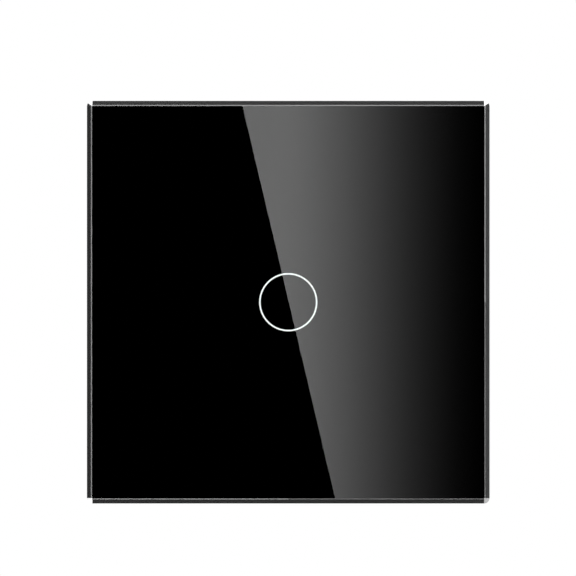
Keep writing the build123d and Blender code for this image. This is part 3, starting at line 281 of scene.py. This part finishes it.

# The corners are ground this far in. The upper ones are ground only on their slanted upper part, which is
# painted light where light from above falls, and the lower right quarter is painted grey, a painted shade on
# its corner and arris. The ground glass stays clear by a small share, and the corners outside that quarter
# give off a little light, a painted glow.
CORNER_GRIND = 1.1 * MM
LIT_CORNER_SLANT = 0.73
CORNER_ROUGHNESS = 0.6
CORNER_CLEAR = 0.03
CORNER_LIGHT = 0.2
# White of the ground corners, which is also the arris's painted highlight
GRIND_AND_HIGHLIGHT_WHITE = (grey(0.92), WHITE)
# Grey of the lower right quarter's corner and arris: painted shade
SHADED_QUARTER_GREY = grey(0.5)

# Share of light that the face mirrors, and how bright the ring behind it glows
FACE_REFLECTS = 0.0455
RING_LIGHT = 0.36


def clear_glass():
    """Float glass: polished face and bevels, a fine arris between them made hazy white as a painted
    highlight, and corners ground matt. The upper corners are ground white only on their slanted upper part,
    painted light where light from above falls; the lower right quarter's corner and arris are painted grey
    as shade, and the other corners give off a painted glow.
    """
    finish = Finish("clear_glass", rgb(0.9, 0.965, 0.945), 0.0, IOR=1.52)
    low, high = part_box("glass_panel")
    middle = (low + high) / 2
    half = (high.x - low.x) / 2

    normal = finish.add("ShaderNodeTexCoord").outputs["Normal"]
    facing = finish.maths("MULTIPLY", finish.axis("Y", normal), -1.0)
    side = finish.maths("LESS_THAN", finish.maths("ABSOLUTE", facing), SIDE_FACING)
    arris = finish.both(finish.maths("GREATER_THAN", facing, ARRIS_FACING[0]),
                        finish.maths("LESS_THAN", facing, ARRIS_FACING[1]))
    for axis, centre in (("X", middle.x), ("Z", middle.z)):
        arris = finish.both(arris, finish.near(axis, centre, half - ARRIS_START))

    upper = finish.beyond("Z", middle.z)
    past_side = finish.past("X", middle.x, half - CORNER_GRIND)
    past_end = finish.past("Z", middle.z, half - CORNER_GRIND)
    # Upper corners stay white only on their slanted upper part, where light from above falls: painted light
    lit_slant = finish.maths("MULTIPLY", past_side, finish.maths("MULTIPLY", upper, LIT_CORNER_SLANT))
    corner = finish.both(finish.maths("GREATER_THAN", past_side, 0.0),
                         finish.maths("GREATER_THAN", past_end, lit_slant))
    corner = finish.both(corner, finish.outside(finish.beyond("Y", low.y + CORNER_GRIND)))
    # Lower right quarter, greyed as painted shade
    shaded_quarter = finish.both(finish.beyond("X", middle.x), finish.outside(upper))

    finish.colour(side, SIDE_TINT)
    # Corners ground white; the arris white is a painted highlight, and the lower right quarter gets painted
    # shade
    grind_and_highlight = finish.mix(finish.noise(0.5 * MM), *GRIND_AND_HIGHLIGHT_WHITE)
    finish.colour(finish.maths("MAXIMUM", arris, corner), finish.mix(shaded_quarter, grind_and_highlight, SHADED_QUARTER_GREY))
    # Hazy white arris: a painted highlight
    painted_highlight = finish.maths("MULTIPLY", arris, finish.spread(finish.noise(0.3 * MM, detail=4.0), *ARRIS_HIGHLIGHT_HAZE))
    finish.vary("Transmission Weight", finish.maths("MAXIMUM", painted_highlight, corner), 1.0, CORNER_CLEAR)
    finish.vary("Roughness", corner, 0.0, CORNER_ROUGHNESS)
    # Painted glow on the corners outside the lower right quarter
    finish.vary("Emission Strength", finish.both(corner, finish.outside(shaded_quarter)), 0.0, CORNER_LIGHT)
    return finish


def black_ink():
    """Screen-printed black behind the glass, with the faint mottle of a second pass."""
    finish = Finish("black_ink", grey(0.0012), 0.35, Specular_IOR_Level=0.0)
    finish.clouds(5 * MM, grey(0.0018), share=0.5, detail=2.0)
    finish.uneven(2 * MM, low=0.3, high=0.45)
    return finish


def white_ink():
    """Translucent white ring, evenly lit from behind."""
    finish = Finish("white_ink", grey(0.93), 0.5, Specular_IOR_Level=0.0, Emission_Strength=RING_LIGHT)
    mottle = finish.noise(0.25 * MM)
    finish.colour(finish.spread(mottle, 0.0, 0.4), grey(0.84))
    finish.feed(finish.shader.inputs["Emission Color"], finish.mix(mottle, grey(0.97), WHITE))
    finish.bump(mottle, depth=0.003 * MM, strength=0.3)
    return finish


def foam_tape():
    """Closed-cell foam tape, with pores cut open along its edge and darkened inside as painted shade."""
    finish = Finish("foam_tape", grey(0.05), 0.85)
    pores = finish.cells(0.22 * MM, "Distance")
    # Pores darkened towards their middle: painted shade
    finish.colour(finish.spread(pores, 0.55, 0.0), grey(0.015))
    finish.bump(pores, depth=0.06 * MM, strength=0.8)
    return finish


def galvanised():
    """Zinc-coated sheet with its spangle."""
    zinc = rgb(0.4, 0.41, 0.43)
    finish = Finish("zinc_plate", zinc, 0.35, metallic=1.0)
    spangle = finish.axis("X", finish.cells(2.6 * MM))
    finish.colour(finish.spread(spangle, 0.0, 0.6), rgb(0.58, 0.59, 0.6))
    finish.clouds(0.5 * MM, darker(zinc, 0.25), share=0.35, detail=5.0)
    finish.vary("Roughness", spangle, 0.26, 0.46)
    finish.grain(0.3 * MM, depth=0.008 * MM, strength=0.4, detail=4.0)
    finish.bump(spangle, depth=0.006 * MM, strength=0.3)
    return finish


def diffuser():
    """Milky cap that lets light through."""
    finish = Finish("diffuser_plastic", rgb(0.9, 0.9, 0.88), 0.4, Subsurface_Weight=0.35,
                    Subsurface_Radius=(1.2 * MM, 1.2 * MM, 1.1 * MM))
    finish.clouds(3 * MM, rgb(0.82, 0.82, 0.8), share=0.3)
    finish.uneven(1.2 * MM, low=0.32, high=0.5)
    finish.grain(0.3 * MM, depth=0.01 * MM, strength=0.3)
    return finish


def solder_mask():
    """Green board: copper tracks and pours show through the mask as lighter lines and fields."""
    green = rgb(0.012, 0.13, 0.05)
    track_pitch, track_edge = 3.2 * MM, (0.1, 0.16)
    pour_size, pour_limit = 9 * MM, 0.55
    finish = Finish("board_mask", green, 0.3, Coat_Weight=0.3)
    nearest = finish.cells(track_pitch, "Distance", "CHEBYCHEV", "F1")
    second = finish.cells(track_pitch, "Distance", "CHEBYCHEV", "F2")
    track = finish.spread(finish.maths("SUBTRACT", second, nearest), 1.0, 0.0, source=track_edge)
    field = finish.axis("X", finish.cells(pour_size, "Color", "CHEBYCHEV"))
    copper = finish.maths("MAXIMUM", track, finish.maths("GREATER_THAN", field, pour_limit))
    finish.colour(finish.maths("MULTIPLY", copper, 0.75), rgb(0.03, 0.24, 0.09))
    finish.clouds(1.1 * MM, darker(green, 0.4), share=0.25, detail=4.0)
    finish.uneven(2 * MM, low=0.22, high=0.4)
    finish.bump(copper, depth=0.03 * MM, strength=0.5)
    return finish


def led_resin():
    """White diode packages with phosphor in the window."""
    window_depth = 0.16 * MM
    finish = Finish("led_resin", rgb(0.86, 0.86, 0.84), 0.35)
    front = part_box("status_leds")[0].y
    window = finish.maths("LESS_THAN", finish.axis("Y"), front + window_depth)
    finish.colour(window, rgb(0.9, 0.74, 0.12))
    finish.clouds(0.3 * MM, rgb(0.7, 0.68, 0.6), share=0.3)
    finish.uneven(0.5 * MM, low=0.25, high=0.45)
    finish.grain(0.1 * MM, depth=0.005 * MM, strength=0.3)
    return finish


def shrink_sleeve():
    """Dark sleeve over an aluminium can that shows at its rear end, with one pale stripe."""
    finish = Finish("can_sleeve", rgb(0.012, 0.016, 0.035), 0.28)
    low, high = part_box("bulk_capacitor")
    centre = (low + high) / 2
    radius = (high.x - low.x) / 2
    stripe_half, bare_radius, rim_depth = radius * 0.3, radius * 0.78, 0.1 * MM

    stripe = finish.both(finish.near("Z", centre.z, stripe_half), finish.beyond("X", centre.x))
    finish.colour(stripe, rgb(0.45, 0.47, 0.5))
    from_centre = finish.vector("SUBTRACT", finish.place, centre)
    across = finish.vector("MULTIPLY", from_centre, (1.0, 0.0, 1.0))
    away = finish.vector("LENGTH", across, output="Value")
    bare = finish.both(finish.maths("LESS_THAN", away, bare_radius),
                       finish.beyond("Y", high.y - rim_depth))
    finish.colour(bare, rgb(0.74, 0.74, 0.75))
    finish.feed(finish.shader.inputs["Metallic"], bare)
    finish.uneven(1.6 * MM, low=0.2, high=0.38)
    finish.grain(0.5 * MM, depth=0.01 * MM, strength=0.3)
    return finish


def fuse_body():
    """Ceramic tube between two plated end caps."""
    cap_length = 1.45 * MM
    finish = Finish("fuse_ceramic", rgb(0.84, 0.82, 0.77), 0.35)
    low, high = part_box("fuse_link")
    tube_half = (high.x - low.x) / 2 - cap_length
    cap = finish.outside(finish.near("X", (low.x + high.x) / 2, tube_half))
    finish.clouds(1.3 * MM, rgb(0.7, 0.66, 0.58), share=0.3)
    finish.colour(cap, rgb(0.74, 0.73, 0.7))
    finish.feed(finish.shader.inputs["Metallic"], cap)
    finish.uneven(0.7 * MM, low=0.22, high=0.45)
    finish.grain(0.2 * MM, depth=0.008 * MM, strength=0.4)
    return finish


def ferrite():
    """Sintered ferrite: dark, dry and slightly pitted."""
    finish = Finish("ferrite", rgb(0.035, 0.035, 0.038), 0.6)
    finish.clouds(0.8 * MM, rgb(0.09, 0.088, 0.085), share=0.5, detail=5.0)
    finish.uneven(0.5 * MM, low=0.5, high=0.75)
    finish.bump(finish.cells(0.35 * MM, "Distance"), depth=0.02 * MM, strength=0.5)
    return finish


def chip_mould():
    """Filled epoxy of chip packages: matt, with fine specks."""
    finish = Finish("chip_mould", grey(0.03), 0.55)
    finish.clouds(0.12 * MM, grey(0.055), share=0.6, detail=4.0)
    finish.uneven(0.6 * MM, low=0.48, high=0.66)
    finish.grain(0.08 * MM, depth=0.006 * MM, strength=0.5)
    return finish


# Each finish has the name of its material slot in the record
finishes = (
    clear_glass(),
    black_ink(),
    white_ink(),
    foam_tape(),
    moulded("frame_plastic", grey(0.022), 0.5),
    galvanised(),
    rolled("spring_steel", rgb(0.5, 0.5, 0.52), 0.26, lines_stretch=(1.0, 10.0, 1.0)),
    plated("rivet_metal", rgb(0.7, 0.7, 0.71), 0.3, tint=grey(0.6)),
    moulded("housing_plastic", rgb(0.04, 0.041, 0.045), 0.48),
    moulded("cover_plastic", rgb(0.028, 0.028, 0.03), 0.46),
    plated("screw_steel", rgb(0.66, 0.66, 0.68), 0.24),
    diffuser(),
    plated("pad_copper", rgb(0.86, 0.62, 0.26), 0.25, tint=rgb(0.8, 0.52, 0.24)),
    plated("spring_wire", rgb(0.72, 0.72, 0.73), 0.16),
    solder_mask(),
    led_resin(),
    chip_mould(),
    plated("tin", rgb(0.74, 0.74, 0.75), 0.28, tint=rgb(0.68, 0.68, 0.66)),
    plated("pin_gold", rgb(0.87, 0.66, 0.26), 0.2, tint=rgb(0.8, 0.58, 0.22)),
    moulded("strip_plastic", grey(0.025), 0.5, grain_size=0.15 * MM),
    moulded("relay_plastic", rgb(0.02, 0.075, 0.3), 0.4),
    moulded("bobbin_plastic", rgb(0.72, 0.69, 0.6), 0.5),
    wound_wire("copper_wire", rgb(0.66, 0.28, 0.11), pitch=0.22 * MM),
    rolled("soft_iron", rgb(0.56, 0.56, 0.57), 0.34, lines_stretch=(1.0, 1.0, 14.0)),
    rolled("contact_alloy", rgb(0.76, 0.58, 0.38), 0.3, lines_stretch=(1.0, 1.0, 8.0)),
    shrink_sleeve(),
    moulded("film_case", rgb(0.8, 0.5, 0.03), 0.4),
    dipped_coat("varistor_coat", rgb(0.04, 0.1, 0.42)),
    fuse_body(),
    ferrite(),
    moulded("block_plastic", rgb(0.1, 0.108, 0.115), 0.5),
    rolled("contact_brass", rgb(0.76, 0.56, 0.26), 0.3, lines_stretch=(8.0, 1.0, 1.0)),
    rolled("cage_steel", rgb(0.64, 0.64, 0.66), 0.3, lines_stretch=(10.0, 1.0, 1.0)),
    plated("terminal_screw_steel", rgb(0.66, 0.66, 0.67), 0.26),
)
materials = {finish.name: finish.material for finish in finishes}
for row in frame["record"]["subparts"]:
    mesh = nodes[row["node"]].data
    mesh.materials.clear()
    mesh.materials.append(materials[row["material_slot"]])


def photo_place(pixel):
    """Place on the glass, in metres from the camera's axis, of a pixel of the photograph."""
    across = (pixel[0] - PHOTO_SIDE / 2) / PIXELS_PER_MM * MM
    up = (PHOTO_SIDE / 2 - pixel[1]) / PIXELS_PER_MM * MM
    return across, up


# Camera square to the glass, a little above its middle, as the photograph is framed.
# Its sensor is in millimetres, all else in metres.
CAMERA_DISTANCE = 1.0
CLIP_NEAR, CLIP_FAR = 0.05, 20.0
SENSOR = 36.0
glass_low, glass_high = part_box("glass_panel")
centre_across, centre_up = photo_place(PANEL_CENTRE)
camera_x = (glass_low.x + glass_high.x) / 2 - centre_across
camera_z = (glass_low.z + glass_high.z) / 2 - centre_up
view_width = PHOTO_SIDE / PIXELS_PER_MM * MM
lens = bpy.data.cameras.new("camera")
lens.sensor_width = SENSOR
lens.lens = SENSOR * CAMERA_DISTANCE / view_width
lens.clip_start, lens.clip_end = CLIP_NEAR, CLIP_FAR
camera = bpy.data.objects.new("camera", lens)
camera.location = (camera_x, glass_low.y - CAMERA_DISTANCE, camera_z)
camera.rotation_euler = (pi / 2, 0.0, 0.0)
bpy.context.scene.collection.objects.link(camera)
bpy.context.scene.camera = camera


def stage_square(finish, centre, first, second, half):
    """Square of the studio from its centre and the two directions that it lies along."""
    corners = [Vector(centre) + half * (along * first + aside * second)
               for along, aside in ((-1, -1), (1, -1), (1, 1), (-1, 1))]
    mesh = bpy.data.meshes.new(finish.name)
    mesh.from_pydata(corners, [], [tuple(range(len(corners)))])
    mesh.materials.append(finish.material)
    piece = bpy.data.objects.new(finish.name, mesh)
    bpy.context.scene.collection.objects.link(piece)
    return piece


def only_reflected(piece):
    """Hides a piece of the studio from all but reflections."""
    piece.visible_camera = False
    piece.visible_diffuse = False
    piece.visible_transmission = False
    piece.visible_shadow = False


def seen_directly(tree):
    """1 for rays that show the studio itself: from the camera, off gloss and through glass."""
    path = tree.nodes.new("ShaderNodeLightPath")
    total = path.outputs["Is Camera Ray"]
    for name in ("Is Glossy Ray", "Is Transmission Ray"):
        node = tree.nodes.new("ShaderNodeMath")
        node.operation = "MAXIMUM"
        tree.links.new(total, node.inputs[0])
        tree.links.new(path.outputs[name], node.inputs[1])
        total = node.outputs[0]
    return total


# Pale floor, low enough to stay out of the photograph's frame, and lit a little where it is seen
FLOOR_HEIGHT = -0.12
FLOOR_HALF = 1.0
FLOOR_LIFT = 0.12
floor = Finish("studio_floor", grey(0.9), 0.8, Emission_Color=WHITE)
floor.clouds(0.2, grey(0.93), share=0.3, detail=2.0)
floor.feed(floor.shader.inputs["Emission Strength"],
           floor.maths("MULTIPLY", seen_directly(floor.tree), FLOOR_LIFT))
stage_square(floor, (0.0, 0.0, FLOOR_HEIGHT), ACROSS, DEEP, FLOOR_HALF)

# World: white where it is seen, a softer even light elsewhere
WORLD_LIGHT = 0.62
world = bpy.data.worlds.new("studio")
world.use_nodes = True
bpy.context.scene.world = world
air = world.node_tree.nodes["Background"]
air.inputs["Color"].default_value = WHITE
brightness = world.node_tree.nodes.new("ShaderNodeMapRange")
brightness.inputs["To Min"].default_value = WORLD_LIGHT
brightness.inputs["To Max"].default_value = 1.0
world.node_tree.links.new(seen_directly(world.node_tree), brightness.inputs["Value"])
world.node_tree.links.new(brightness.outputs["Result"], air.inputs["Strength"])


def softbox(name, place, side, power):
    """Square lamp that faces the object. Its place and side are in metres, its power in watts."""
    light = bpy.data.lights.new(name, "AREA")
    light.shape = "SQUARE"
    light.size = side
    light.energy = power
    lamp = bpy.data.objects.new(name, light)
    lamp.location = place
    lamp.rotation_euler = (-Vector(place)).to_track_quat("-Z", "Y").to_euler()
    bpy.context.scene.collection.objects.link(lamp)


softbox("key_light", place=(0.55, -0.6, 0.9), side=0.5, power=7.0)
softbox("rear_light", place=(-0.6, 0.7, 0.7), side=0.6, power=5.0)

# Card behind the camera that the glass mirrors, drawn at the glass's size and scaled to its own distance
CARD_BEHIND_CAMERA = 0.05
CARD_HALF = 60 * MM
CARD_SCALE = (2 * CAMERA_DISTANCE + CARD_BEHIND_CAMERA) / CAMERA_DISTANCE

# The screen's curve from a tone to its light
SCREEN_OFFSET = 0.055
SCREEN_POWER = 2.4


def sheen_strength(card):
    """Light of the card: none up to a slanted edge, and beyond it a tone that fades to the right."""
    top, foot = photo_place(SHEEN_EDGE_TOP), photo_place(SHEEN_EDGE_FOOT)
    slant = (foot[0] - top[0]) / (foot[1] - top[1])
    across, up = card.axis("X"), card.axis("Z")
    edge = card.maths("ADD", card.maths("MULTIPLY", up, slant), top[0] - slant * top[1])
    lit = card.maths("GREATER_THAN", across, edge)
    fade = photo_place((SHEEN_FULL_X, 0))[0], photo_place((SHEEN_GONE_X, 0))[0]
    even = card.spread(across, 1.0, 0.0, source=fade)
    eased = card.spread(across, 1.0, 0.0, source=fade, kind="SMOOTHSTEP")
    tone = card.maths("MULTIPLY", card.maths("ADD", even, eased), SHEEN_TONE / 2)
    scaled = card.maths("DIVIDE", card.maths("ADD", tone, SCREEN_OFFSET), 1 + SCREEN_OFFSET)
    darkest = (SCREEN_OFFSET / (1 + SCREEN_OFFSET)) ** SCREEN_POWER
    light = card.maths("SUBTRACT", card.maths("POWER", scaled, SCREEN_POWER), darkest)
    return card.maths("MULTIPLY", lit, card.maths("DIVIDE", light, FACE_REFLECTS))


sheen = Finish("sheen_card", BLACK, 1.0)
sheen.glow(sheen_strength(sheen))
sheen_card = stage_square(sheen, (0.0, 0.0, 0.0), ACROSS, UP, CARD_HALF)
sheen_card.location = (camera_x, camera.location.y - CARD_BEHIND_CAMERA, camera_z)
sheen_card.scale = (CARD_SCALE, 1.0, CARD_SCALE)
only_reflected(sheen_card)

# Flags beside the panel that its bevels mirror, so each bevel has the tone it has in the photograph:
# the centre of each, the way it runs along the panel, and its tone
FLAG_HALF = 90 * MM
FLAG_AWAY = 300 * MM
FLAG_LOW = 115 * MM
FLAGS = {
    "left": ((-FLAG_AWAY, 0.0, 0.0), UP, 0.45),
    "top": ((0.0, 0.0, FLAG_AWAY), ACROSS, 0.8),
    "foot": ((0.0, 0.0, -FLAG_LOW), ACROSS, 0.5),
}
for side, (centre, along, tone) in FLAGS.items():
    flag = Finish("flag_" + side, BLACK, 1.0)
    flag.glow(tone)
    only_reflected(stage_square(flag, centre, along, DEEP, FLAG_HALF))

bpy.context.scene.view_settings.view_transform = "Standard"
